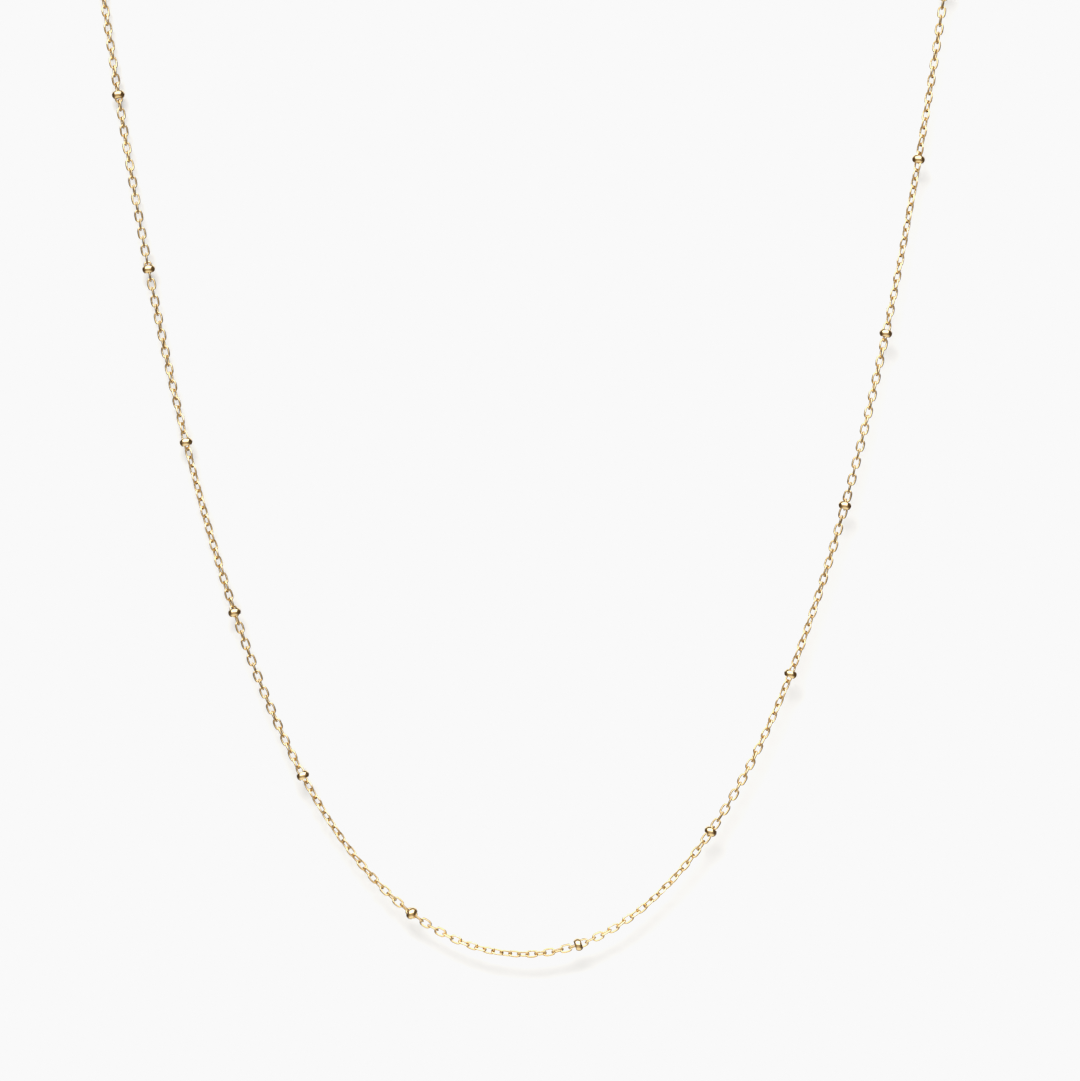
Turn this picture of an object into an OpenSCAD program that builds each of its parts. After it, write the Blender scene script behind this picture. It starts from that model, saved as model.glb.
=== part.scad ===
// Station necklace: a fine chain worn as a closed loop, threaded through small drilled beads that
// sit at an even spacing, and fastened at the back by a ring clasp with a loop ring.
// The front hangs in one upright plane as a free chain does. The back goes round the neck.
// Millimetres. X is to the right, Y goes from the front drop to the nape and Z is up.
// The origin is the centre of the neck opening, level with the nape.

/* [Loop] */
// Stations round the loop, counting the clasp as one
stations = 20; // [16:2:24]
// Length of chain from the middle of one bead to the middle of the next
station_pitch = 22.86; // [20:0.02:25.4]
// How far round the middle bead lies from the lowest point
slip = 7.2; // [0:0.1:10]

/* [Chain] */
// Diameter of the solid cord that the links fill
chain_d = 0.95; // [0.7:0.05:1.1]

/* [Front drop] */
// Radius of the bend at the lowest point of the hanging front
bend_r = 20.6; // [16:0.1:26]

/* [Neck] */
// Depth of the neck opening, from the front drop to the nape
neck_depth = 38; // [30:0.5:50]
// Height of the nape above the place where the sides turn back
neck_rise = 28; // [20:0.5:36]

/* [Beads] */
// Diameter of a bead
bead_d = 1.64; // [1.5:0.02:3]
// Length of a bead along the chain, before it is drilled
bead_long = 1.34; // [1.2:0.02:2.6]

/* [Clasp] */
// Outer diameter of the clasp's ring
clasp_d = 5.6; // [4.6:0.1:8]
// Thickness of the clasp's ring
clasp_wire_d = 1.0; // [0.7:0.05:1.2]
// Outer diameter of the eye that the chain is linked to
eye_d = 2.0; // [1.7:0.05:3]
// Thickness of the eye's wire
eye_wire_d = 0.5; // [0.35:0.05:0.6]
// Depth to which the eye is soldered into the ring
eye_seat = 0.3; // [0.2:0.05:0.4]
// Diameter of the knob that opens the clasp
knob_d = 0.8; // [0.5:0.05:1]
// Height of the knob above the ring
knob_h = 0.7; // [0.4:0.05:1.2]

/* [End ring] */
// Outer diameter of the ring that the clasp closes on
end_ring_d = 3.1; // [2.8:0.05:4]
// Thickness of the end ring's wire
end_ring_wire_d = 0.4; // [0.3:0.05:0.5]

/* [Fits] */
// Gap between the chain and the wall of a bead's hole
bore_clearance = 0.1; // [0.1:0.01:0.2]
// Gap between the clasp, the end ring and the chain's two ends
link_clearance = 0.1; // [0.1:0.01:0.25]

/* [Hidden] */
gold = [0.86, 0.70, 0.42];
beads = stations - 1;
middle_bead = stations / 2;
loop_l = stations * station_pitch;
half_loop = loop_l / 2;

// Sides of the cord's sweep, and the most degrees that it turns from one of its rings to the next
CORD_SIDES = 8;
MOST_TURN = 8;
// Pieces in which the back's length is measured, and how the place where it begins is solved
BACK_STEPS = 72;
SOLVE_ROUNDS = 12;
FIRST_SHARE = 0.64;
// Half the step over which the chain's direction is taken
PROBE = 0.2;
FN = 48;

// The front drop is the curve of a hanging chain, by its length from the lowest point.
function front_x(s) = bend_r * ln(s / bend_r + sqrt(1 + pow(s / bend_r, 2)));
function front_z(s) = sqrt(pow(bend_r, 2) + pow(s, 2)) - bend_r;

// The back, from the side (t = 0) to the nape (t = 1). It leaves the side in the direction in
// which the front reaches it, so lean carries the front's slope into the turn and dies out.
function back_lean(side_s) = neck_rise * PI / 2 * bend_r / side_s;
function back(t, side_s) = let (q = 90 * t, phi = 90 * (1 - cos(q))) [
    front_x(side_s) * cos(phi) + back_lean(side_s) * t * pow(1 - t, 3),
    neck_depth * sin(phi),
    front_z(side_s) + neck_rise * sin(q)
];
function back_run(side_s) = [for (
    i = 0, at = back(0, side_s), run = 0;
    i <= BACK_STEPS;
    i = i + 1, next = back(i / BACK_STEPS, side_s), run = run + norm(next - at), at = next
) run];

// Length from the lowest point to the side, at which front and back make up half of the loop
function solve_side(side_s, rounds) =
    rounds <= 0 ? side_s : solve_side(half_loop - back_run(side_s)[BACK_STEPS], rounds - 1);
side_s = solve_side(FIRST_SHARE * half_loop, SOLVE_ROUNDS);
runs = back_run(side_s);
back_share = [for (i = [0 : BACK_STEPS]) [runs[i], i / BACK_STEPS]];
nape_z = front_z(side_s) + neck_rise;

// A point of the loop, by its length along the chain from the lowest point, to the right
function half_point(s) = s <= side_s
    ? [front_x(s), 0, front_z(s)]
    : back(lookup(s - side_s, back_share), side_s);
function wrapped(s) = s > half_loop ? s - loop_l : s < -half_loop ? s + loop_l : s;
function place(s) = let (w = wrapped(s), p = half_point(abs(w)))
    [w < 0 ? -p.x : p.x, p.y - neck_depth / 2, p.z - nape_z];
function unit(v) = v / norm(v);
function heading(s) = unit(place(s + PROBE) - place(s - PROBE));

// Stops along the chain: its two ends at the clasp, and the beads between them
eye_x = clasp_d / 2 + eye_d / 2 - eye_seat;
end_ring_hole_r = end_ring_d / 2 - end_ring_wire_d;
end_ring_x = clasp_d / 2 - clasp_wire_d - link_clearance + end_ring_hole_r;
clasp_s = slip + half_loop;
chain_start = clasp_s - loop_l + eye_x + eye_d / 2 + link_clearance;
chain_end = clasp_s - end_ring_x - end_ring_d / 2 - link_clearance;
function bead_s(i) = slip + (i - middle_bead) * station_pitch;

// The drill leaves a bead this long from lip to lip. The cord is straight a little beyond both.
bead_bore_d = chain_d + 2 * bore_clearance;
bead_l = bead_long / bead_d * sqrt(pow(bead_d, 2) - pow(bead_bore_d, 2));
hold = bead_l / 2 + bore_clearance;
function gap_start(i) = i == 0 ? chain_start : bead_s(i) + hold;
function gap_end(i) = i == beads ? chain_end : bead_s(i + 1) - hold;
function turn(a, b) = acos(min(1, heading(a) * heading(b)));
function gap_steps(i) = max(1, ceil(turn(gap_start(i), gap_end(i)) / MOST_TURN));
ring_stops = [for (i = [0 : beads]) let (n = gap_steps(i)) for (k = [0 : n])
    gap_start(i) + (gap_end(i) - gap_start(i)) * k / n];

// A direction that the loop never runs along, to turn the sweep's rings by
KEEL = [0, 1, -1];
function ring_points(s) = let (
    h = heading(s),
    across = unit(cross(h, KEEL)),
    up = cross(across, h)
) [for (k = [0 : CORD_SIDES - 1]) let (a = 360 * k / CORD_SIDES)
    place(s) + chain_d / 2 * (cos(a) * across + sin(a) * up)];

function bead_name(i) = str("bead_", i < 10 ? "0" : "", i);

// Stands what is drawn along +X at a place on the loop, with Z as near upright as it goes.
module stand_at(s) {
    h = heading(s);
    translate(place(s)) rotate([0, -asin(h.z), atan2(h.y, h.x)]) children();
}

// A ring of round wire in the XY plane
module wire_ring(outer_d, wire_d) {
    rotate_extrude($fn = FN) translate([(outer_d - wire_d) / 2, 0]) circle(d = wire_d, $fn = FN);
}

// A slightly flattened ball, drilled along X for the chain
module drilled_bead() {
    rotate([0, 90, 0]) difference() {
        scale([1, 1, bead_long / bead_d]) sphere(d = bead_d, $fn = FN);
        cylinder(d = bead_bore_d, h = 2 * bead_d, center = true, $fn = FN);
    }
}

module bead(i) {
    color(gold) stand_at(bead_s(i)) drilled_bead();
}

// The cord that the chain's links fill, swept through the beads from the eye to the end ring
module chain() {
    count = len(ring_stops);
    last = (count - 1) * CORD_SIDES;
    points = [for (s = ring_stops) each ring_points(s)];
    walls = [for (r = [0 : count - 2]) for (k = [0 : CORD_SIDES - 1])
        let (a = r * CORD_SIDES, n = (k + 1) % CORD_SIDES)
        each [[a + k, a + n, a + CORD_SIDES + n], [a + k, a + CORD_SIDES + n, a + CORD_SIDES + k]]];
    start_cap = [for (k = [CORD_SIDES - 1 : -1 : 0]) k];
    end_cap = [for (k = [0 : CORD_SIDES - 1]) last + k];
    color(gold) polyhedron(points, concat(walls, [start_cap, end_cap]));
}

// The closed ring of the clasp with its knob, and the eye soldered to it on the chain's side
module clasp() {
    ring_top = clasp_d / 2 - clasp_wire_d / 2;
    color(gold) stand_at(clasp_s) union() {
        rotate([90, 0, 0]) wire_ring(clasp_d, clasp_wire_d);
        translate([eye_x, 0, 0]) rotate([90, 0, 0]) wire_ring(eye_d, eye_wire_d);
        translate([0, 0, ring_top]) cylinder(d = knob_d, h = clasp_wire_d / 2 + knob_h, $fn = FN);
    }
}

// The soldered ring on the chain's other end. It is closed in the clasp's ring.
module end_ring() {
    color(gold) stand_at(clasp_s) translate([-end_ring_x, 0, 0]) wire_ring(end_ring_d, end_ring_wire_d);
}

chain();
clasp();
end_ring();
for (i = [1 : beads]) bead(i);
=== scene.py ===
"""Looks of the station necklace.

Run as a script, this loads the packed necklace as a fixed frame and dresses it: loose links in
place of the solid chain, beads with rounded lips, a ring clasp with its bolt, and a soldered ring,
all in polished yellow gold, hung before a pale board over a pale floor.

Points handed to Blender are in metres, in the CAD part's frame: X to the right, Y from the front
drop to the nape, Z up. The loop's own sizes are in millimetres, as the CAD source has them.
"""

import math

import bpy
import numpy as np
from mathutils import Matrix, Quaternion, Vector


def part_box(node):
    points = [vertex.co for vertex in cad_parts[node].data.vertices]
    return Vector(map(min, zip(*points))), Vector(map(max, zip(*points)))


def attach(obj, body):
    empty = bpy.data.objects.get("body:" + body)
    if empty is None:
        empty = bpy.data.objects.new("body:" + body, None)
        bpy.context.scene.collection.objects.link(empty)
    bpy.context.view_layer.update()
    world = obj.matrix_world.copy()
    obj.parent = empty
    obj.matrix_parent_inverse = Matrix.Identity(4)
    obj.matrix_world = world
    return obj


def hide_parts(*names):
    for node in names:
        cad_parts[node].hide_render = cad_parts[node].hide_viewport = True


bl_info = {
    "name": "Station necklace looks",
    "version": (1, 0, 0),
    "blender": (4, 5, 0),
    "location": "3D View > Sidebar > Necklace",
    "description": "Dresses the packed station necklace with links, beads, clasp, ring and stage",
    "category": "Object",
}

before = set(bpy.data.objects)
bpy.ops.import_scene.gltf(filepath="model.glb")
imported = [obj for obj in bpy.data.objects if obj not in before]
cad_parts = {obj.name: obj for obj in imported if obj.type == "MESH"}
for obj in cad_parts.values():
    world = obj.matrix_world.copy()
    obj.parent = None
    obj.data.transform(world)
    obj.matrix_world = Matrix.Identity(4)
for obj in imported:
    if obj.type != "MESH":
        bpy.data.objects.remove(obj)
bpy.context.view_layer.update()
MM = 0.001

# The loop, with the values of the CAD source
STATIONS = 20
STATION_PITCH = 22.86
SLIP = 7.2
BEND_R = 20.6
NECK_DEPTH = 38.0
NECK_RISE = 28.0
BACK_STEPS = 72
SOLVE_ROUNDS = 12
FIRST_SHARE = 0.64
LOOP_L = STATIONS * STATION_PITCH
HALF_LOOP = LOOP_L / 2
BEADS = STATIONS - 1
MIDDLE_BEAD = STATIONS // 2
# Half the length over which the loop's direction is taken
PROBE = 0.2
# Length of one step in which a direction across the chain is carried along it
SIDE_STEP = 0.1

# Beads, clasp and end ring, with the values of the CAD source
BEAD_D = 1.64
BEAD_LONG = 1.34
BEAD_BORE_D = 1.15
CLASP_D = 5.6
CLASP_WIRE_D = 1.0
EYE_D = 2.0
EYE_WIRE_D = 0.5
EYE_SEAT = 0.3
KNOB_D = 0.8
KNOB_H = 0.7
END_RING_D = 3.1
END_RING_WIRE_D = 0.4
LINK_CLEARANCE = 0.1
EYE_X = CLASP_D / 2 + EYE_D / 2 - EYE_SEAT
END_RING_HOLE_R = END_RING_D / 2 - END_RING_WIRE_D
END_RING_X = CLASP_D / 2 - CLASP_WIRE_D - LINK_CLEARANCE + END_RING_HOLE_R
CLASP_S = SLIP + HALF_LOOP
# How far a bead may lie from its place on the route before the two sources are taken to differ
BEAD_OFF = 0.05

# The links fill the chain from the far edge of the eye's hole to the far edge of the end ring's
LINK_COUNT = 402
LINKS_FROM = CLASP_S - LOOP_L + EYE_X + EYE_D / 2 - EYE_WIRE_D
LINKS_TO = CLASP_S - END_RING_X - END_RING_HOLE_R
LINK_PITCH = (LINKS_TO - LINKS_FROM) / LINK_COUNT
# Length over which the chain's ends come onto the clasp's own axis, and the links evened out there
END_RUN = 9
EVEN_LINKS = 14

# Turn of the chain about itself at each bead, in degrees. The beads left out lie at the back.
TURN_AT_BEAD = {
    3: -28,
    4: -22,
    5: -4,
    6: 32,
    7: 70,
    8: 118,
    9: 165,
    10: 262,
    11: 345,
    12: 405,
    13: 443,
    14: 468,
    15: 495,
    16: 535,
}
TURN_SMOOTHING = 7
# Each link is drawn a little out of turn, by so many degrees, from a fixed seed
TURN_SPREAD = 2.0
LINK_SEED = 7

# The cut flats of a link: where the side of the oval faces outwards enough for them, over what
# share they fade in, and how far round the wire they may reach
CUT_FROM = 0.7
CUT_FADE = 0.25
CUT_WIDEST = math.pi / 3
# The soldered seam of a link: its reach along the wire in thicknesses, and how much it swells
LINK_SEAM_REACH = 0.4
LINK_SEAM_SWELL = 0.05
OVAL_SAMPLES = 4096

# Faces of the beads' lips, the clasp and the end ring
LIP_STEPS = 9
CLASP_RINGS, CLASP_SIDES = 220, 36
EYE_RINGS, END_RING_RINGS, RING_SIDES = 72, 96, 20
DOME_STEPS, KNOB_SIDES = 9, 32
SOLDER_STEPS, SOLDER_SIDES = 15, 28
# What is turned about an axis stays this far from it, so that no faces meet in a point there
CORE_R = 0.001

# The clasp's tube, as a share of the solid ring's, with rolled lips where the bolt comes out
TUBE_SHARE = 0.96
ROLL_SHARE = 0.03
ROLL_EDGE = math.radians(4)
ROLL_REACH = 0.8
# The knob: how deep its foot sits in the tube, its dome, its stem by height over the foot and
# radius, and its head by depth under the dome and how far it stays inside the head's radius
KNOB_SUNK = 0.18
KNOB_DOME = 0.24
KNOB_STEM = ((0, 0.30), (0.16, 0.27), (0.32, 0.25))
KNOB_HEAD = ((0.16, 0.13), (0.09, 0.05), (0.03, 0.005))
# The solder between clasp and eye: how deep in the tube, how long, how thick and how waisted
SOLDER_SUNK = 0.02
SOLDER_LONG = 0.3
SOLDER_R = 0.3
SOLDER_WAIST = 0.45
# The end ring's soldered seam: where it is, its reach in thicknesses, and the wire beside and at it
RING_SEAM_AT = math.radians(130)
RING_SEAM_REACH = 0.35
RING_WIRE_SHARE = 0.98
RING_SEAM_SWELL = 0.04

# Each finish: how far apart the mop's lines are, how wide its patches of tone and how deep its
# ripple, in metres, and how rough it is between the lines
FINISHES = {
    "chain polish": {"spacing": 0.00006, "patch": 0.003, "dent": 0.000003, "roughness": 0.06},
    "bead polish": {"spacing": 0.00009, "patch": 0.004, "dent": 0.000005, "roughness": 0.09},
    "clasp polish": {"spacing": 0.00010, "patch": 0.005, "dent": 0.000006, "roughness": 0.11},
}
# The mop's two ways over the gold, as turn and stretch of the noise that draws them
MOP_WAYS = (((0.4, 0.2, 0.5), (1, 9, 4)), ((1.1, 0.7, -0.6), (7, 1, 5)))
MOP_DETAIL = 3.0
# How wide a line is in that noise, how much slower the ripple runs than the lines, and between
# which values of the noise the tone goes from pale to deep
LINE_WIDTH = 0.06
RIPPLE_SHARE = 0.22
RIPPLE_DETAIL = 1.0
TONE_DETAIL = 4.0
TONE_RANGE = (0.3, 0.7)
# What the lines and the seams add to the roughness, how deep the lines are against the ripple,
# and the strength of both in the bump
LINE_ROUGHNESS = 0.06
SEAM_ROUGHNESS = 0.12
LINE_DEPTH = 0.12
BUMP_STRENGTH = 0.35

# The view: the middle of the picture in the plane of the front drop, and how far off the camera is
VIEW_CENTRE = (2.11, -NECK_DEPTH / 2, -99.3)
VIEW_DISTANCE = 581.6
LENS = 150.0
SENSOR = 36.0
NEAREST, FARTHEST = 0.01, 50
FLOOR_REACH = 900
PAINT_ROUGHNESS = 0.9
# The one of the film's four curves that acts on all colours alike
ALL_COLOURS = 3

# Where each light or dark of the room fades in or out, in radians. Over counts from straight ahead
# of the necklace up over the top, rise from level, and off from the front box's middle sideways.
BOX_SIDE_SOFT = 0.1
BOX_FOOT_SOFT = 0.12
BOX_HEAD_SOFT = 0.1
BACK_BOX_ASIDE = (0.5, 0.85)
BACK_BOX_FROM = (2.1, 2.3)
BACK_BOX_TO = (2.85, 3.05)
BACK_BOX_SHARE = 0.5
FRONT_LOW_OFF = (0.35, 0.75)
FRONT_LOW_FROM = (-1.5, -1.2)
FRONT_LOW_SOFT = 0.1
FLOOR_RISE = (-1.05, -0.78)
CORNER_OFF = (1.0, 1.25)
CORNER_FROM = (-0.85, -0.45)
CORNER_TO = (0.6, 1.0)
CEILING_FROM = (0.6, 0.9)
CEILING_PAST_HEAD = (0.05, 0.2)


# The route of the loop


def front(run):
    """X and Z of the hanging front, by its length from the lowest point."""
    return BEND_R * np.arcsinh(run / BEND_R), np.hypot(BEND_R, run) - BEND_R


def back(share, side_run):
    """Points of the back, from the side (share 0) to the nape (share 1)."""
    side_x, side_z = front(side_run)
    lean = NECK_RISE * math.pi / 2 * BEND_R / side_run
    q = math.pi / 2 * share
    phi = math.pi / 2 * (1 - np.cos(q))
    x = side_x * np.cos(phi) + lean * share * (1 - share) ** 3
    return np.stack([x, NECK_DEPTH * np.sin(phi), side_z + NECK_RISE * np.sin(q)], axis=-1)


def back_runs(side_run):
    """Length along the back at each of its steps."""
    steps = np.diff(back(np.linspace(0, 1, BACK_STEPS + 1), side_run), axis=0)
    return np.concatenate([[0], np.cumsum(np.linalg.norm(steps, axis=1))])


def solved_side():
    """Length from the lowest point to the side, so that front and back make half of the loop."""
    side_run = FIRST_SHARE * HALF_LOOP
    for _ in range(SOLVE_ROUNDS):
        side_run = HALF_LOOP - back_runs(side_run)[-1]
    return side_run


SIDE_RUN = solved_side()
BACK_RUNS = back_runs(SIDE_RUN)
NAPE_Z = front(SIDE_RUN)[1] + NECK_RISE


def place(s):
    """Points of the loop in millimetres, by the length along it from the lowest point."""
    s = np.asarray(s, float)
    wrapped = np.where(s > HALF_LOOP, s - LOOP_L, np.where(s < -HALF_LOOP, s + LOOP_L, s))
    run = np.abs(wrapped)
    x, z = front(np.minimum(run, SIDE_RUN))
    share = np.interp(run - SIDE_RUN, BACK_RUNS, np.linspace(0, 1, BACK_STEPS + 1))
    behind = (run > SIDE_RUN)[..., None]
    half = np.where(behind, back(share, SIDE_RUN), np.stack([x, 0 * x, z], axis=-1))
    mirrored = half * np.stack([np.where(wrapped < 0, -1, 1), 1 + 0 * x, 1 + 0 * x], axis=-1)
    return mirrored - np.array([0, NECK_DEPTH / 2, NAPE_Z])


def unit(v):
    """The directions of vectors, each of length 1."""
    return v / np.linalg.norm(v, axis=-1, keepdims=True)


def heading(s):
    """Direction of the loop, towards growing lengths."""
    return unit(place(np.asarray(s) + PROBE) - place(np.asarray(s) - PROBE))


def bead_s(number):
    """Length along the loop to a bead, from the lowest point."""
    return SLIP + (number - MIDDLE_BEAD) * STATION_PITCH


def stand_at(s):
    """Origin and axes of a piece on the loop: X along the chain and Z as near upright as it goes."""
    along = heading(s)
    across = unit(np.cross([0, 0, 1], along))
    return place(s), np.array([along, across, np.cross(along, across)])


def carried(points, stand):
    """Points drawn in a stand's own axes, in the frame's millimetres."""
    origin, axes = stand
    return points @ axes + origin


def squared(side, along):
    """A direction with what it has along the chain taken out."""
    return unit(side - along * (side @ along))


def steady_sides(stops):
    """A direction across the chain at each stop that doesn't turn about the chain.

    At the lowest point it is the direction away from the viewer.
    """
    sides = {}
    for way in (1, -1):
        run, side = 0.0, np.array([0.0, 1.0, 0.0])
        for s in sorted((s for s in stops if s * way >= 0), key=abs):
            for at in np.arange(run, s, way * SIDE_STEP):
                side = squared(side, heading(at))
            side = squared(side, heading(s))
            run, sides[s] = s, side
    return np.array([sides[s] for s in stops])


# Meshes


def full_turn(steps):
    """Evenly spaced angles once round, in radians."""
    return np.linspace(0, 2 * math.pi, steps, endpoint=False)


def smooth_share(x):
    """0 up to 0 and 1 from 1 on, smooth between them."""
    x = np.clip(x, 0, 1)
    return x * x * (3 - 2 * x)


def grid_faces(rings, sides):
    """Faces of rings of points joined one to the next, and the last to the first."""
    ring = np.arange(rings)[:, None]
    side = np.arange(sides)[None, :]
    after, beside = (ring + 1) % rings, (side + 1) % sides
    corners = (
        ring * sides + side,
        ring * sides + beside,
        after * sides + beside,
        after * sides + side,
    )
    return np.stack([np.broadcast_to(c, (rings, sides)).ravel() for c in corners], axis=-1)


def facing_out(points, faces):
    """The faces, turned round if they enclose the solid inside out."""
    a, b, c, d = (points[faces[:, i]] for i in range(4))
    volume = np.einsum("ij,ij->", a, np.cross(b, c) + np.cross(c, d))
    return faces if volume > 0 else faces[:, ::-1]


def joined(parts):
    """One list of points and one of faces from several closed shapes."""
    points, faces, used = [], [], 0
    for shape_points, shape_faces in parts:
        points.append(shape_points)
        faces.append(facing_out(shape_points, shape_faces) + used)
        used += len(shape_points)
    return np.concatenate(points), np.concatenate(faces)


def add_piece(name, parts, material, nodes, seams=None):
    """Makes one smooth mesh of closed shapes, in millimetres, in place of the CAD nodes."""
    points, faces = joined(parts)
    mesh = bpy.data.meshes.new(name)
    mesh.from_pydata((points * MM).tolist(), [], faces.tolist())
    mesh.validate()
    mesh.shade_smooth()
    seam = mesh.attributes.new("seam", "FLOAT", "POINT")
    seam.data.foreach_set("value", np.zeros(len(points)) if seams is None else seams)
    mesh.materials.append(material)
    piece = bpy.data.objects.new(name, mesh)
    bpy.context.scene.collection.objects.link(piece)
    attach(piece, "root")
    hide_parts(*nodes)


def round_section(sides):
    """Section of a round wire of radius 1, as (outwards, sideways) points."""
    turn = full_turn(sides)
    return np.stack([np.cos(turn), np.sin(turn)], axis=-1)


def wire_round(centres, outwards, side, section, size):
    """A closed wire along points of a flat loop. size is its reach, all over or point by point."""
    reach = np.broadcast_to(np.asarray(size, float), (len(centres), len(section)))[:, :, None]
    out = outwards[:, None, :] * section[None, :, :1] * reach
    off = np.asarray(side, float) * section[None, :, 1:] * reach
    points = (centres[:, None, :] + out + off).reshape(-1, 3)
    return points, grid_faces(len(centres), len(section))


def turned(outline, sides):
    """Points and faces of a closed outline of (along, radius) turned about the X axis."""
    turn = full_turn(sides)
    along, radius = np.asarray(outline, float).T
    x = np.broadcast_to(along[:, None], (len(along), sides))
    y, z = radius[:, None] * np.cos(turn), radius[:, None] * np.sin(turn)
    points = np.stack([x, y, z], axis=-1).reshape(-1, 3)
    return points, grid_faces(len(along), sides)


def arc(centre, radius, start, end, steps):
    """Points of an arc, from one angle to another, in radians."""
    turn = np.linspace(start, end, steps)
    x, y = centre[0] + radius * np.cos(turn), centre[1] + radius * np.sin(turn)
    return np.stack([x, y], axis=-1)


# Links


def oval(length, width, fullness, steps):
    """Evenly spaced points of an oval, with the directions straight out of it."""
    turn = np.linspace(0, 2 * math.pi, OVAL_SAMPLES)
    c, s = np.cos(turn), np.sin(turn)
    x = length / 2 * np.sign(c) * np.abs(c) ** (2 / fullness)
    y = width / 2 * np.sign(s) * np.abs(s) ** (2 / fullness)
    run = np.concatenate([[0], np.cumsum(np.hypot(np.diff(x), np.diff(y)))])
    stops = np.linspace(0, run[-1], steps, endpoint=False)
    points = np.stack([np.interp(stops, run, x), np.interp(stops, run, y), 0 * stops], axis=-1)
    ahead = unit(np.roll(points, -1, axis=0) - np.roll(points, 1, axis=0))
    return points, np.stack([ahead[:, 1], -ahead[:, 0], 0 * stops], axis=-1)


def cut_reach(links, outwards):
    """Reach of a link's wire, with the flats that the cutter leaves on the corners of its sides."""
    turn = full_turn(links.sides)
    on_side = smooth_share((np.abs(outwards[:, 1]) - CUT_FROM) / CUT_FADE)
    flat_at = 1 - links.cut * on_side
    from_out = np.abs((turn + math.pi) % (2 * math.pi) - math.pi)
    from_flat = np.abs(from_out - links.cut_slant)
    flat = flat_at[:, None] / np.cos(np.minimum(from_flat, CUT_WIDEST))[None, :]
    return links.wire_d / MM / 2 * np.minimum(1, flat)


def link_turns(sides_across, stops):
    """How far each link is turned about the chain from its steady side, in radians."""
    number = np.arange(LINK_COUNT)
    known = {(bead_s(k) - LINKS_FROM) / LINK_PITCH - 0.5: v for k, v in TURN_AT_BEAD.items()}
    # The first link lies flat, across the eye. The last one stands, across the end ring.
    _, axes = stand_at(CLASP_S)
    first, last = 0, LINK_COUNT - 1
    ends = ((first, axes[1], known[min(known)]), (last, axes[2], known[max(known)]))
    for link, wanted, near in ends:
        side = sides_across[link]
        beside = np.cross(side, heading(stops[link]))
        turn = math.degrees(math.atan2(wanted @ side, wanted @ beside)) - 90 * (link % 2)
        known[link] = turn + 180 * round((near - turn) / 180)
    order = sorted(known)
    turns = np.interp(number, order, [known[k] for k in order])
    padded = np.pad(turns, TURN_SMOOTHING, mode="edge")
    window = np.hanning(2 * TURN_SMOOTHING + 3)[1:-1]
    smooth = np.convolve(padded, window / window.sum(), mode="valid")
    return np.radians(smooth + 90 * (number % 2))


def straightened(centres, along, stops):
    """Pulls the chain's two ends onto the clasp's own axis, where the eye and the end ring are."""
    stand = stand_at(CLASP_S)
    origin, axes = stand
    for from_end in (stops - LINKS_FROM, LINKS_TO - stops):
        for i in np.flatnonzero(from_end < END_RUN):
            local = (centres[i] - origin) @ axes.T
            local[1:] *= 1 - (1 - min(1.0, from_end[i] / END_RUN) ** 2) ** 2
            centres[i] = carried(local, stand)
    for run in (slice(0, EVEN_LINKS), slice(LINK_COUNT - EVEN_LINKS, LINK_COUNT)):
        steps = np.diff(centres[run], axis=0, prepend=centres[run][:1])
        gone = np.cumsum(np.linalg.norm(steps, axis=1))
        even = np.linspace(0, gone[-1], EVEN_LINKS)
        evened = [np.interp(even, gone, centres[run][:, k]) for k in range(3)]
        centres[run] = np.stack(evened, axis=-1)
        along[run] = unit(np.gradient(centres[run], axis=0))


def chain_stretches(links):
    """Points, faces and seam marks of the links of each stretch between two stations."""
    stops = LINKS_FROM + (np.arange(LINK_COUNT) + 0.5) * LINK_PITCH
    centres, along = place(stops), heading(stops)
    side = steady_sides(list(stops))
    turns = link_turns(side, stops)
    straightened(centres, along, stops)
    rng = np.random.default_rng(LINK_SEED)
    turns = turns + np.radians(rng.normal(0, TURN_SPREAD, LINK_COUNT))
    flat = np.cross(side, along)
    width_way = unit(np.cos(turns)[:, None] * flat + np.sin(turns)[:, None] * side)
    width_way = unit(width_way - along * np.sum(width_way * along, axis=1, keepdims=True))
    thick_way = np.cross(along, width_way)

    wire, width = links.wire_d / MM, links.width / MM - links.wire_d / MM
    length = LINK_PITCH + links.play / MM + wire
    line, out = oval(length, width, links.fullness, links.steps)
    section = round_section(links.sides)
    reach = cut_reach(links, out)
    rocks = rng.normal(0, links.rock, LINK_COUNT)
    seam_way = rng.choice([-1, 1], LINK_COUNT)
    stretch_of = np.searchsorted([bead_s(k) for k in range(1, STATIONS)], stops)
    found = []
    for stretch in range(STATIONS):
        parts, seams = [], []
        for i in np.flatnonzero(stretch_of == stretch):
            from_seam = np.hypot(line[:, 0], line[:, 1] - seam_way[i] * width / 2)
            mark = np.exp(-((from_seam / (LINK_SEAM_REACH * wire)) ** 2))
            size = reach * (1 + LINK_SEAM_SWELL * mark)[:, None]
            points, faces = wire_round(line, out, (0, 0, 1), section, size)
            points[:, 2] += points[:, 0] * math.sin(rocks[i])
            axes = np.array([along[i], width_way[i], thick_way[i]])
            parts.append((carried(points, (centres[i], axes)), faces))
            seams.append(np.repeat(mark, links.sides))
        found.append((parts, np.concatenate(seams)))
    return found


# Beads, clasp and end ring


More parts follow.
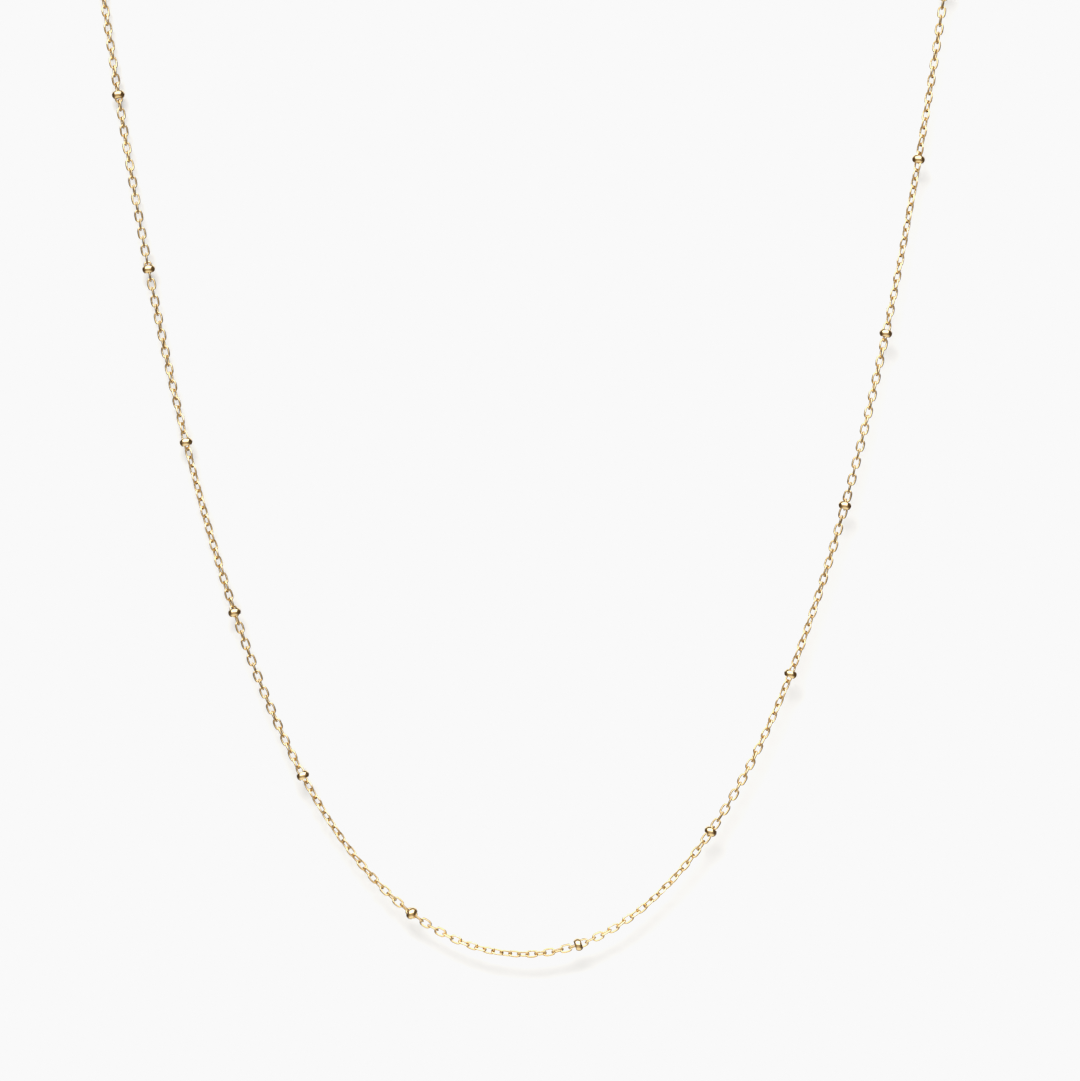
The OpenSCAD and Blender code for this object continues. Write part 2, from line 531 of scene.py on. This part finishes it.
def bead_shape(beads):
    """A bead, from half of its section: a flattened ball, its drilled hole and rounded lips."""
    ball_r, bore_r, lip_r = BEAD_D / 2, BEAD_BORE_D / 2, beads.lip_r / MM
    lip_y = bore_r + lip_r
    lip_x = math.sqrt((ball_r - lip_r) ** 2 - lip_y**2)
    lip_turn = math.atan2(lip_y, lip_x)
    down = -math.pi / 2
    outside = arc((0, 0), ball_r, math.pi - lip_turn, lip_turn, beads.steps)
    right_lip = arc((lip_x, lip_y), lip_r, lip_turn, down, LIP_STEPS)[1:]
    across = np.linspace(lip_x, -lip_x, LIP_STEPS)
    inside = np.stack([across, np.full(LIP_STEPS, bore_r)], axis=-1)[1:]
    left_lip = arc((-lip_x, lip_y), lip_r, down, -math.pi - lip_turn, LIP_STEPS)[1:-1]
    outline = np.concatenate([outside, right_lip, inside, left_lip])
    return turned(outline * [BEAD_LONG / BEAD_D, 1], beads.sides)


def upright_ring(steps):
    """Angles round a ring in the clasp's own plane, and the directions straight out of it."""
    turn = full_turn(steps)
    return turn, np.stack([np.cos(turn), 0 * turn, np.sin(turn)], axis=-1)


def clasp_tube(clasp):
    """The clasp's ring: a tube with rolled ends, and the thinner bolt that closes the gap."""
    turn, out = upright_ring(CLASP_RINGS)
    line = (CLASP_D - CLASP_WIRE_D) / 2 * out
    past_start, before_end = turn - clasp.bolt_from, clasp.bolt_to - turn
    in_bolt = smooth_share(past_start / ROLL_EDGE) * smooth_share(before_end / ROLL_EDGE)
    roll = np.exp(-(((past_start + ROLL_EDGE) / (ROLL_REACH * ROLL_EDGE)) ** 2))
    roll += np.exp(-(((before_end + ROLL_EDGE) / (ROLL_REACH * ROLL_EDGE)) ** 2))
    tube_r, bolt_r = CLASP_WIRE_D / 2 * TUBE_SHARE, clasp.bolt_d / MM / 2
    radius = tube_r + (bolt_r - tube_r) * in_bolt + ROLL_SHARE * CLASP_WIRE_D / 2 * roll
    return wire_round(line, out, (0, 1, 0), round_section(CLASP_SIDES), radius[:, None])


def clasp_knob():
    """The knob on the ring's top: a waisted stem under a domed head."""
    foot, rim, head_r = CLASP_D / 2 - KNOB_SUNK, CLASP_D / 2 + KNOB_H - KNOB_DOME, KNOB_D / 2
    outline = [(foot, CORE_R)]
    outline += [(foot + up, radius) for up, radius in KNOB_STEM]
    outline += [(rim - under, head_r - inside) for under, inside in KNOB_HEAD]
    for a in np.linspace(0, math.pi / 2, DOME_STEPS):
        outline.append((rim + KNOB_DOME * math.sin(a), max(CORE_R, head_r * math.cos(a))))
    points, faces = turned(outline, KNOB_SIDES)
    upright = np.stack([points[:, 1], points[:, 2], points[:, 0]], axis=-1)
    return upright, faces


def clasp_eye():
    """The eye on the chain's side, a ring of wire in the clasp's own plane."""
    _, out = upright_ring(EYE_RINGS)
    line = (EYE_D - EYE_WIRE_D) / 2 * out + [EYE_X, 0, 0]
    return wire_round(line, out, (0, 1, 0), round_section(RING_SIDES), EYE_WIRE_D / 2)


def eye_solder():
    """The small flow of solder where the eye's wire meets the clasp's tube."""
    x = CLASP_D / 2 - SOLDER_SUNK
    outline = [(x - SOLDER_LONG / 2, CORE_R)]
    for a in np.linspace(-0.5, 0.5, SOLDER_STEPS):
        waist = SOLDER_WAIST * (1 - (2 * a) ** 2) ** 0.5
        outline.append((x + SOLDER_LONG * a, SOLDER_R * (1 - waist)))
    outline.append((x + SOLDER_LONG / 2, CORE_R))
    return turned(outline, SOLDER_SIDES)


def end_ring_shape():
    """The end ring, with the swelling of its solder on the chain's side."""
    turn = full_turn(END_RING_RINGS)
    ring_r = (END_RING_D - END_RING_WIRE_D) / 2
    out = np.stack([np.cos(turn), np.sin(turn), 0 * turn], axis=-1)
    from_seam = np.abs((turn - RING_SEAM_AT + math.pi) % (2 * math.pi) - math.pi) * ring_r
    mark = np.exp(-((from_seam / (RING_SEAM_REACH * END_RING_WIRE_D)) ** 2))
    radius = END_RING_WIRE_D / 2 * (RING_WIRE_SHARE + RING_SEAM_SWELL * mark)
    line = ring_r * out - [END_RING_X, 0, 0]
    shape = wire_round(line, out, (0, 0, 1), round_section(RING_SIDES), radius[:, None])
    return shape, np.repeat(mark, RING_SIDES)


# Materials


def add_node(tree, kind, inputs=None, **settings):
    """Adds a node, with its own settings, and sets or links its inputs."""
    made = tree.nodes.new(kind)
    for name, value in settings.items():
        setattr(made, name, value)
    for key, value in (inputs or {}).items():
        if isinstance(value, bpy.types.NodeSocket):
            tree.links.new(value, made.inputs[key])
        else:
            made.inputs[key].default_value = value
    return made


def maths(tree, operation, *values):
    """The result of a sum on numbers and sockets."""
    return add_node(tree, "ShaderNodeMath", dict(enumerate(values)), operation=operation).outputs[0]


def noise(tree, where, scale, detail):
    """A cloudy value between 0 and 1."""
    inputs = {"Vector": where, "Scale": scale, "Detail": detail}
    return add_node(tree, "ShaderNodeTexNoise", inputs).outputs["Fac"]


def spread(tree, value, start, end, low=0.0, high=1.0, **settings):
    """A value taken from one range to another, and held at its ends."""
    inputs = {"Value": value, "From Min": start, "From Max": end, "To Min": low, "To Max": high}
    return add_node(tree, "ShaderNodeMapRange", inputs, **settings).outputs["Result"]


def laid_over(tree, under, over, mask):
    """One colour or colour socket over another, as far as the mask says."""
    inputs = {"Factor": mask, "A": under, "B": over}
    return add_node(tree, "ShaderNodeMix", inputs, data_type="RGBA").outputs["Result"]


def opaque(colour):
    """A colour with full alpha."""
    return (*colour, 1)


def new_group(name, inputs, outputs):
    """An empty shader node group. inputs are (name, kind, default) and outputs (name, kind)."""
    tree = bpy.data.node_groups.new(name, "ShaderNodeTree")
    for socket, kind, default in inputs:
        made = tree.interface.new_socket(socket, in_out="INPUT", socket_type=kind)
        made.default_value = default
    for socket, kind in outputs:
        tree.interface.new_socket(socket, in_out="OUTPUT", socket_type=kind)
    given = tree.nodes.new("NodeGroupInput").outputs
    return tree, given, tree.nodes.new("NodeGroupOutput").inputs


def polish_group():
    """Fine lines that the polishing mop leaves, in two crossing directions."""
    name = "Polish lines"
    if name in bpy.data.node_groups:
        return bpy.data.node_groups[name]
    tree, given, out = new_group(
        name,
        [("Spacing", "NodeSocketFloat", 0.00008), ("Sharpness", "NodeSocketFloat", 0.5)],
        [("Lines", "NodeSocketFloat"), ("Ripple", "NodeSocketFloat")],
    )
    where = add_node(tree, "ShaderNodeTexCoord").outputs["Object"]
    density = maths(tree, "DIVIDE", 1.0, given["Spacing"])
    lines = []
    for rotation, stretch in MOP_WAYS:
        inputs = {"Vector": where, "Rotation": rotation, "Scale": stretch}
        mopped = add_node(tree, "ShaderNodeMapping", inputs).outputs["Vector"]
        cloud = noise(tree, mopped, density, MOP_DETAIL)
        ridge = maths(tree, "ABSOLUTE", maths(tree, "SUBTRACT", cloud, 0.5))
        lines.append(spread(tree, ridge, 0.0, LINE_WIDTH, 1.0, 0.0))
    faded = maths(tree, "MULTIPLY", maths(tree, "MAXIMUM", *lines), given["Sharpness"])
    slow = maths(tree, "MULTIPLY", density, RIPPLE_SHARE)
    tree.links.new(faded, out["Lines"])
    tree.links.new(noise(tree, where, slow, RIPPLE_DETAIL), out["Ripple"])
    return tree


def tone_group():
    """The slow drift of gold between a paler and a deeper tone, with paler solder at seams."""
    name = "Gold tone"
    if name in bpy.data.node_groups:
        return bpy.data.node_groups[name]
    tree, given, out = new_group(
        name,
        [
            ("Pale", "NodeSocketColor", (1, 0.9, 0.6, 1)),
            ("Deep", "NodeSocketColor", (0.9, 0.7, 0.4, 1)),
            ("Solder", "NodeSocketColor", (0.9, 0.8, 0.6, 1)),
            ("Patch size", "NodeSocketFloat", 0.002),
        ],
        [("Colour", "NodeSocketColor"), ("Seam", "NodeSocketFloat")],
    )
    where = add_node(tree, "ShaderNodeTexCoord").outputs["Object"]
    density = maths(tree, "DIVIDE", 1.0, given["Patch size"])
    patches = spread(tree, noise(tree, where, density, TONE_DETAIL), *TONE_RANGE)
    drift = laid_over(tree, given["Pale"], given["Deep"], patches)
    seam = add_node(tree, "ShaderNodeAttribute", attribute_name="seam").outputs["Fac"]
    tree.links.new(laid_over(tree, drift, given["Solder"], seam), out["Colour"])
    tree.links.new(seam, out["Seam"])
    return tree


def new_material(name):
    """A material without nodes, and its tree."""
    material = bpy.data.materials.new(name)
    material.use_nodes = True
    material.node_tree.nodes.clear()
    return material, material.node_tree


def polished_gold(name, gold):
    """Polished yellow gold: a drifting tone, mop lines in the gloss and a faint tumbled ripple."""
    if name in bpy.data.materials:
        return bpy.data.materials[name]
    finish = FINISHES[name]
    material, tree = new_material(name)
    tones = {
        "Pale": opaque(gold.pale),
        "Deep": opaque(gold.deep),
        "Solder": opaque(gold.solder),
        "Patch size": finish["patch"],
    }
    tone = add_node(tree, "ShaderNodeGroup", tones, node_tree=tone_group()).outputs
    mop = {"Spacing": finish["spacing"], "Sharpness": 1.0}
    polish = add_node(tree, "ShaderNodeGroup", mop, node_tree=polish_group()).outputs
    rough = finish["roughness"]
    gloss = spread(tree, polish["Lines"], 0.0, 1.0, rough, rough + LINE_ROUGHNESS)
    height = maths(tree, "MULTIPLY_ADD", polish["Lines"], -LINE_DEPTH, polish["Ripple"])
    relief = {"Strength": BUMP_STRENGTH, "Distance": finish["dent"], "Height": height}
    surface = {
        "Base Color": tone["Colour"],
        "Metallic": 1.0,
        "Roughness": maths(tree, "MULTIPLY_ADD", tone["Seam"], SEAM_ROUGHNESS, gloss),
        "Normal": add_node(tree, "ShaderNodeBump", relief).outputs["Normal"],
    }
    shader = add_node(tree, "ShaderNodeBsdfPrincipled", surface)
    add_node(tree, "ShaderNodeOutputMaterial", {"Surface": shader.outputs["BSDF"]})
    return material


def stage_paint(name, colour, glow, one_sided):
    """Matt pale paint that the gold doesn't mirror.

    One-sided, it is seen from its front alone and throws no shadow.
    """
    material, tree = new_material(name)
    path = add_node(tree, "ShaderNodeLightPath").outputs
    surface = {
        "Base Color": opaque(colour),
        "Roughness": PAINT_ROUGHNESS,
        "Specular IOR Level": 0.0,
        "Emission Color": opaque(colour),
        "Emission Strength": maths(tree, "MULTIPLY", path["Is Camera Ray"], glow),
    }
    paint = add_node(tree, "ShaderNodeBsdfPrincipled", surface).outputs["BSDF"]
    clear = path["Is Glossy Ray"]
    if one_sided:
        behind = add_node(tree, "ShaderNodeNewGeometry").outputs["Backfacing"]
        unseen = maths(tree, "MAXIMUM", behind, path["Is Shadow Ray"])
        clear = maths(tree, "MAXIMUM", clear, unseen)
    through = add_node(tree, "ShaderNodeBsdfTransparent").outputs["BSDF"]
    mixed = add_node(tree, "ShaderNodeMixShader", {0: clear, 1: paint, 2: through})
    add_node(tree, "ShaderNodeOutputMaterial", {"Surface": mixed.outputs["Shader"]})
    return material


# Stage


def add_sheet(name, corners, material):
    """A flat rectangle of the stage, its front on the side from which the corners run leftwards."""
    mesh = bpy.data.meshes.new(name)
    mesh.from_pydata([tuple(np.array(c) * MM) for c in corners], [], [(0, 1, 2, 3)])
    mesh.materials.append(material)
    sheet = bpy.data.objects.new(name, mesh)
    bpy.context.scene.collection.objects.link(sheet)


def since(tree, value, start, end):
    """0 before start and 1 after end, smooth between them."""
    return spread(tree, value, start, end, interpolation_type="SMOOTHSTEP")


def until(tree, value, start, end):
    """1 before start and 0 after end, smooth between them."""
    return maths(tree, "SUBTRACT", 1.0, since(tree, value, start, end))


def masked(tree, first, *others):
    """The masks multiplied."""
    for other in others:
        first = maths(tree, "MULTIPLY", first, other)
    return first


def distance(tree, value, middle=0.0):
    """How far a value is from the middle, on either side."""
    return maths(tree, "ABSOLUTE", maths(tree, "SUBTRACT", value, middle))


def room_colour(tree, stage):
    """What the gold mirrors, by direction.

    Soft boxes stand in front, above and behind, over dark corners and walls and a pale floor.
    """
    where = add_node(tree, "ShaderNodeTexCoord").outputs["Generated"]
    x, y, z = add_node(tree, "ShaderNodeSeparateXYZ", {0: where}).outputs
    ahead = maths(tree, "MULTIPLY", y, -1.0)
    over = maths(tree, "ARCTAN2", z, ahead)
    rise = maths(tree, "ARCSINE", z)
    aside = maths(tree, "ARCSINE", x)
    off_box = distance(tree, aside, stage.box_turn)
    off_side = distance(tree, maths(tree, "ARCTAN2", x, ahead), stage.box_turn)
    reach, foot, head = stage.box_reach, stage.box_foot, stage.box_head

    front_box = masked(
        tree,
        until(tree, off_box, reach - BOX_SIDE_SOFT, reach + BOX_SIDE_SOFT),
        since(tree, over, foot - BOX_FOOT_SOFT, foot + BOX_FOOT_SOFT),
        until(tree, over, head - BOX_HEAD_SOFT, head + BOX_HEAD_SOFT),
    )
    back_box = masked(
        tree,
        until(tree, distance(tree, aside), *BACK_BOX_ASIDE),
        since(tree, over, *BACK_BOX_FROM),
        until(tree, over, *BACK_BOX_TO),
    )
    front_low = masked(
        tree,
        until(tree, off_box, *FRONT_LOW_OFF),
        until(tree, over, foot, foot + FRONT_LOW_SOFT),
        since(tree, over, *FRONT_LOW_FROM),
    )
    corners = masked(
        tree,
        since(tree, off_side, *CORNER_OFF),
        since(tree, rise, *CORNER_FROM),
        until(tree, rise, *CORNER_TO),
    )
    ceiling = masked(
        tree,
        since(tree, rise, *CEILING_FROM),
        since(tree, over, *(head + past for past in CEILING_PAST_HEAD)),
        until(tree, over, *BACK_BOX_FROM),
    )
    colour = opaque(stage.wall_colour)
    for part, mask in (
        (stage.corner_colour, maths(tree, "MAXIMUM", corners, ceiling)),
        (stage.front_colour, front_low),
        (stage.box_colour, maths(tree, "MULTIPLY", back_box, BACK_BOX_SHARE)),
        (stage.box_colour, front_box),
        (stage.low_colour, until(tree, rise, *FLOOR_RISE)),
    ):
        colour = laid_over(tree, colour, opaque(part), mask)
    return colour


def light_room(stage):
    """The room that lights the necklace. The camera itself sees an even pale ground."""
    world = bpy.data.worlds.new("Soft room")
    bpy.context.scene.world = world
    world.use_nodes = True
    world.cycles.sampling_method = "NONE"
    tree = world.node_tree
    tree.nodes.clear()

    def light(colour, strength):
        inputs = {"Color": colour, "Strength": strength}
        return add_node(tree, "ShaderNodeBackground", inputs).outputs["Background"]

    path = add_node(tree, "ShaderNodeLightPath").outputs
    mirrored = light(room_colour(tree, stage), 1.0)
    fill = light((1, 1, 1, 1), stage.fill)
    ground = light(opaque(stage.ground_colour), 1.0)
    lit = add_node(tree, "ShaderNodeMixShader", {0: path["Is Glossy Ray"], 1: fill, 2: mirrored})
    inputs = {0: path["Is Camera Ray"], 1: lit.outputs["Shader"], 2: ground}
    seen = add_node(tree, "ShaderNodeMixShader", inputs)
    add_node(tree, "ShaderNodeOutputWorld", {"Surface": seen.outputs["Shader"]})


def key_light(stage):
    """The soft box that throws the shadows: wide and low, above the camera and to its left."""
    lamp = bpy.data.lights.new("Key", "AREA")
    lamp.shape = "RECTANGLE"
    lamp.size, lamp.size_y = stage.key_size
    lamp.energy = stage.key
    key = bpy.data.objects.new("Key", lamp)
    bpy.context.scene.collection.objects.link(key)
    across, down = stage.key_slant
    way = Vector((across, 1.0, -down)).normalized()
    key.location = Vector(VIEW_CENTRE) * MM - way * stage.key_distance
    key.rotation_mode = "QUATERNION"
    facing = way.to_track_quat("-Z", "Y")
    key.rotation_quaternion = facing @ Quaternion((0, 0, 1), stage.key_roll)
    key.visible_glossy = False


def backdrop(stage):
    """The pale board close behind the front drop, and the floor under it."""
    gap, lean_x, lean_z = stage.board_gap / MM, stage.board_lean[0], stage.board_lean[1]
    half, low, high = stage.board_half / MM, stage.floor_z / MM, stage.board_top / MM
    board = [
        (x, -NECK_DEPTH / 2 + gap + lean_x * x + lean_z * z, z)
        for x, z in ((-half, low), (half, low), (half, high), (-half, high))
    ]
    floor = [(x * FLOOR_REACH, y * FLOOR_REACH, low) for x, y in ((-1, -1), (1, -1), (1, 1), (-1, 1))]
    colour = stage.board_colour
    add_sheet("board", board, stage_paint("board_paint", colour, 0.0, one_sided=True))
    glow = stage.floor_glow
    add_sheet("floor", floor, stage_paint("floor_paint", colour, glow, one_sided=False))


def film(stage):
    """Holds everything brighter than the ground at the ground's own tone, as the picture does."""
    view = bpy.context.scene.view_settings
    view.view_transform = "Standard"
    view.use_curve_mapping = True
    white = stage.ground_colour[1]
    curve = view.curve_mapping.curves[ALL_COLOURS]
    curve.points[-1].location = (1.0, white)
    curve.points.new(white, white)
    for point in curve.points:
        point.handle_type = "VECTOR"
    view.curve_mapping.update()


def camera():
    """The camera, level, facing the front drop from a little over half a metre."""
    made = bpy.data.cameras.new("Camera")
    made.lens = LENS
    made.sensor_width = SENSOR
    made.clip_start, made.clip_end = NEAREST, FARTHEST
    seen_by = bpy.data.objects.new("Camera", made)
    bpy.context.scene.collection.objects.link(seen_by)
    x, y, z = VIEW_CENTRE
    seen_by.location = (x * MM, (y - VIEW_DISTANCE) * MM, z * MM)
    seen_by.rotation_euler = (math.pi / 2, 0, 0)
    bpy.context.scene.camera = seen_by


# Settings


class NecklaceLinks(bpy.types.PropertyGroup):
    """Sizes of the chain's links."""

    wire_d: bpy.props.FloatProperty(
        name="Wire",
        description="Thickness of a link's wire, in the link's plane",
        default=0.25 * MM,
        unit="LENGTH",
        precision=6,
    )
    width: bpy.props.FloatProperty(
        name="Width",
        description="Outer width of a link",
        default=1.13 * MM,
        unit="LENGTH",
        precision=6,
    )
    play: bpy.props.FloatProperty(
        name="Play",
        description="Gap between two links where they meet",
        default=0.01 * MM,
        unit="LENGTH",
        precision=6,
    )
    fullness: bpy.props.FloatProperty(
        name="Fullness",
        description="How full the oval is: 2 is an ellipse, more is squarer",
        default=2.9,
    )
    cut_slant: bpy.props.FloatProperty(
        name="Slant of the cut",
        description="How far a flat is turned from the link's outer edge to its face",
        default=math.radians(42),
        subtype="ANGLE",
    )
    cut: bpy.props.FloatProperty(
        name="Cut",
        description="Depth of the flats on a link's sides, as a share of the wire's radius",
        default=0.25,
        subtype="FACTOR",
        min=0,
        max=1,
    )
    rock: bpy.props.FloatProperty(
        name="Rock",
        description="How far links lean out of line",
        default=math.radians(2.5),
        subtype="ANGLE",
    )
    steps: bpy.props.IntProperty(
        name="Steps", description="Pieces of wire round one link", default=44
    )
    sides: bpy.props.IntProperty(name="Sides", description="Sides of the wire", default=16)


class NecklaceBeads(bpy.types.PropertyGroup):
    """Sizes of the beads."""

    lip_r: bpy.props.FloatProperty(
        name="Lip",
        description="Radius of the rounded lip at the drilled hole",
        default=0.02 * MM,
        unit="LENGTH",
        precision=6,
    )
    steps: bpy.props.IntProperty(
        name="Steps", description="Rings of faces from lip to lip", default=25
    )
    sides: bpy.props.IntProperty(
        name="Sides", description="Sides of a bead round its hole", default=72
    )


class NecklaceClasp(bpy.types.PropertyGroup):
    """Sizes of the clasp."""

    bolt_d: bpy.props.FloatProperty(
        name="Bolt",
        description="Thickness of the bolt that closes the clasp's gap",
        default=0.74 * MM,
        unit="LENGTH",
        precision=6,
    )
    bolt_from: bpy.props.FloatProperty(
        name="Gap from",
        description="Where the gap begins, from the eye round by the knob",
        default=math.radians(104),
        subtype="ANGLE",
    )
    bolt_to: bpy.props.FloatProperty(
        name="Gap to",
        description="Where the gap ends",
        default=math.radians(146),
        subtype="ANGLE",
    )


class NecklaceGold(bpy.types.PropertyGroup):
    """Colours of the gold."""

    pale: bpy.props.FloatVectorProperty(
        name="Pale",
        description="The gold's paler tone",
        default=(0.955, 0.765, 0.44),
        subtype="COLOR",
        min=0,
        max=1,
    )
    deep: bpy.props.FloatVectorProperty(
        name="Deep",
        description="The gold's deeper tone",
        default=(0.925, 0.70, 0.36),
        subtype="COLOR",
        min=0,
        max=1,
    )
    solder: bpy.props.FloatVectorProperty(
        name="Solder",
        description="The tone of the soldered seams",
        default=(0.95, 0.82, 0.58),
        subtype="COLOR",
        min=0,
        max=1,
    )


class NecklaceStage(bpy.types.PropertyGroup):
    """Board, floor and light."""

    board_gap: bpy.props.FloatProperty(
        name="Board gap",
        description="From the front drop to the board, level with the neck's middle",
        default=1.84 * MM,
        unit="LENGTH",
        precision=6,
    )
    board_lean: bpy.props.FloatVectorProperty(
        name="Board lean",
        description="How fast the board falls back to the right, and upwards",
        size=2,
        default=(0.0129, -0.0069),
    )
    board_half: bpy.props.FloatProperty(
        name="Board half width",
        description="Half of the board's width",
        default=130 * MM,
        unit="LENGTH",
    )
    board_top: bpy.props.FloatProperty(
        name="Board top",
        description="Height of the board's upper edge",
        default=-28.5 * MM,
        unit="LENGTH",
    )
    floor_z: bpy.props.FloatProperty(
        name="Floor", description="Height of the floor", default=-186 * MM, unit="LENGTH"
    )
    board_colour: bpy.props.FloatVectorProperty(
        name="Board colour",
        description="Paint of the board and the floor",
        default=(0.905, 0.9, 0.888),
        subtype="COLOR",
        min=0,
        max=1,
    )
    ground_colour: bpy.props.FloatVectorProperty(
        name="Ground colour",
        description="The even ground beyond board and floor",
        default=(0.947, 0.947, 0.947),
        subtype="COLOR",
        min=0,
        max=1,
    )
    floor_glow: bpy.props.FloatProperty(
        name="Floor glow",
        description="What lifts the floor to the ground's tone, in the camera's eyes alone",
        default=0.45,
    )
    fill: bpy.props.FloatProperty(
        name="Fill", description="Strength of the even light", default=0.73
    )
    key: bpy.props.FloatProperty(
        name="Key",
        description="Power of the light that throws shadows",
        default=4.1,
        unit="POWER",
    )
    key_size: bpy.props.FloatVectorProperty(
        name="Key size",
        description="Width and height of the key light",
        size=2,
        default=(0.62, 0.2),
        unit="LENGTH",
    )
    key_distance: bpy.props.FloatProperty(
        name="Key distance",
        description="From the necklace to the key light",
        default=0.9,
        unit="LENGTH",
    )
    key_slant: bpy.props.FloatVectorProperty(
        name="Key slant",
        description="How far the key runs right and down for each step back",
        size=2,
        default=(0.2, 0.9),
    )
    key_roll: bpy.props.FloatProperty(
        name="Key roll",
        description="How far the key's right end is raised, seen from the camera",
        default=math.radians(9),
        subtype="ANGLE",
    )
    box_turn: bpy.props.FloatProperty(
        name="Front box turn",
        description="Middle of the front soft box, left of the camera below 0",
        default=math.radians(-8),
        subtype="ANGLE",
    )
    box_reach: bpy.props.FloatProperty(
        name="Front box reach",
        description="Half of the front soft box's width",
        default=math.radians(50),
        subtype="ANGLE",
    )
    box_foot: bpy.props.FloatProperty(
        name="Front box foot",
        description="Lower edge of the front soft box",
        default=math.radians(8),
        subtype="ANGLE",
    )
    box_head: bpy.props.FloatProperty(
        name="Front box head",
        description="Far edge of the front soft box, over the top",
        default=math.radians(82),
        subtype="ANGLE",
    )
    box_colour: bpy.props.FloatVectorProperty(
        name="Box colour",
        description="Light of the soft boxes",
        default=(2.4, 2.4, 2.45),
        subtype="COLOR",
        min=0,
        soft_max=4,
    )
    front_colour: bpy.props.FloatVectorProperty(
        name="Front colour",
        description="The room round the camera, below the soft box",
        default=(0.54, 0.45, 0.37),
        subtype="COLOR",
        min=0,
        max=1,
    )
    wall_colour: bpy.props.FloatVectorProperty(
        name="Wall colour",
        description="The walls at eye height",
        default=(0.3, 0.245, 0.19),
        subtype="COLOR",
        min=0,
        max=1,
    )
    corner_colour: bpy.props.FloatVectorProperty(
        name="Corner colour",
        description="The dark sides of the room",
        default=(0.085, 0.06, 0.042),
        subtype="COLOR",
        min=0,
        max=1,
    )
    low_colour: bpy.props.FloatVectorProperty(
        name="Low colour",
        description="The pale floor as the gold mirrors it",
        default=(0.95, 0.92, 0.84),
        subtype="COLOR",
        min=0,
        max=1,
    )


SETTINGS = {
    "necklace_links": NecklaceLinks,
    "necklace_beads": NecklaceBeads,
    "necklace_clasp": NecklaceClasp,
    "necklace_gold": NecklaceGold,
    "necklace_stage": NecklaceStage,
}


# Operators


class NECKLACE_OT_links(bpy.types.Operator):
    """Make the chain's loose links, one piece for each stretch between two stations"""

    bl_idname = "necklace.links"
    bl_label = "Make links"

    def execute(self, context):
        scene = context.scene
        gold = polished_gold("chain polish", scene.necklace_gold)
        for number, (parts, seams) in enumerate(chain_stretches(scene.necklace_links), 1):
            add_piece(f"links_{number:02d}", parts, gold, ["chain"], seams)
        return {"FINISHED"}


class NECKLACE_OT_beads(bpy.types.Operator):
    """Make the drilled round beads"""

    bl_idname = "necklace.beads"
    bl_label = "Make beads"

    def execute(self, context):
        scene = context.scene
        gold = polished_gold("bead polish", scene.necklace_gold)
        points, faces = bead_shape(scene.necklace_beads)
        for number in range(1, BEADS + 1):
            node, stand = f"bead_{number:02d}", stand_at(bead_s(number))
            low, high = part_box(node)
            off = ((low + high) / 2 - Vector(stand[0] * MM)).length / MM
            if off > BEAD_OFF:
                raise RuntimeError(f"{node} lies {off:.2f} mm off the route given here")
            parts = [(carried(points, stand), faces)]
            add_piece(f"round_{node}", parts, gold, [node])
        return {"FINISHED"}


class NECKLACE_OT_clasp(bpy.types.Operator):
    """Make the spring ring clasp with its bolt, knob and soldered eye"""

    bl_idname = "necklace.clasp"
    bl_label = "Make clasp"

    def execute(self, context):
        scene = context.scene
        gold = polished_gold("clasp polish", scene.necklace_gold)
        stand = stand_at(CLASP_S)
        shapes = {
            "clasp_ring": [clasp_tube(scene.necklace_clasp)],
            "clasp_knob": [clasp_knob()],
            "clasp_eye": [clasp_eye(), eye_solder()],
        }
        for name, parts in shapes.items():
            parts = [(carried(points, stand), faces) for points, faces in parts]
            add_piece(name, parts, gold, ["clasp"])
        return {"FINISHED"}


class NECKLACE_OT_end_ring(bpy.types.Operator):
    """Make the soldered ring that the clasp closes on"""

    bl_idname = "necklace.end_ring"
    bl_label = "Make end ring"

    def execute(self, context):
        gold = polished_gold("clasp polish", context.scene.necklace_gold)
        (points, faces), seams = end_ring_shape()
        parts = [(carried(points, stand_at(CLASP_S)), faces)]
        add_piece("soldered_ring", parts, gold, ["end_ring"], seams)
        return {"FINISHED"}


class NECKLACE_OT_stage(bpy.types.Operator):
    """Set up the board, the floor, the light and the camera"""

    bl_idname = "necklace.stage"
    bl_label = "Set the stage"

    def execute(self, context):
        stage = context.scene.necklace_stage
        backdrop(stage)
        light_room(stage)
        key_light(stage)
        film(stage)
        camera()
        return {"FINISHED"}


OPERATORS = (
    NECKLACE_OT_links,
    NECKLACE_OT_beads,
    NECKLACE_OT_clasp,
    NECKLACE_OT_end_ring,
    NECKLACE_OT_stage,
)


class NECKLACE_PT_pieces(bpy.types.Panel):
    """The necklace's sizes, colours and pieces"""

    bl_idname = "NECKLACE_PT_pieces"
    bl_label = "Station necklace"
    bl_space_type = "VIEW_3D"
    bl_region_type = "UI"
    bl_category = "Necklace"

    def draw(self, context):
        for name, group in SETTINGS.items():
            box = self.layout.box()
            box.label(text=group.__doc__)
            for prop in group.__annotations__:
                box.prop(getattr(context.scene, name), prop)
        for operator in OPERATORS:
            self.layout.operator(operator.bl_idname)


CLASSES = (*SETTINGS.values(), *OPERATORS, NECKLACE_PT_pieces)


def register():
    """Registers the classes and gives the scene its settings."""
    for made in CLASSES:
        bpy.utils.register_class(made)
    for name, group in SETTINGS.items():
        setattr(bpy.types.Scene, name, bpy.props.PointerProperty(type=group))


def unregister():
    """Takes back what register does."""
    for name in SETTINGS:
        delattr(bpy.types.Scene, name)
    for made in reversed(CLASSES):
        bpy.utils.unregister_class(made)


def main():
    """Makes every piece and the stage."""
    register()
    bpy.ops.necklace.links()
    bpy.ops.necklace.beads()
    bpy.ops.necklace.clasp()
    bpy.ops.necklace.end_ring()
    bpy.ops.necklace.stage()


if __name__ == "__main__":
    main()
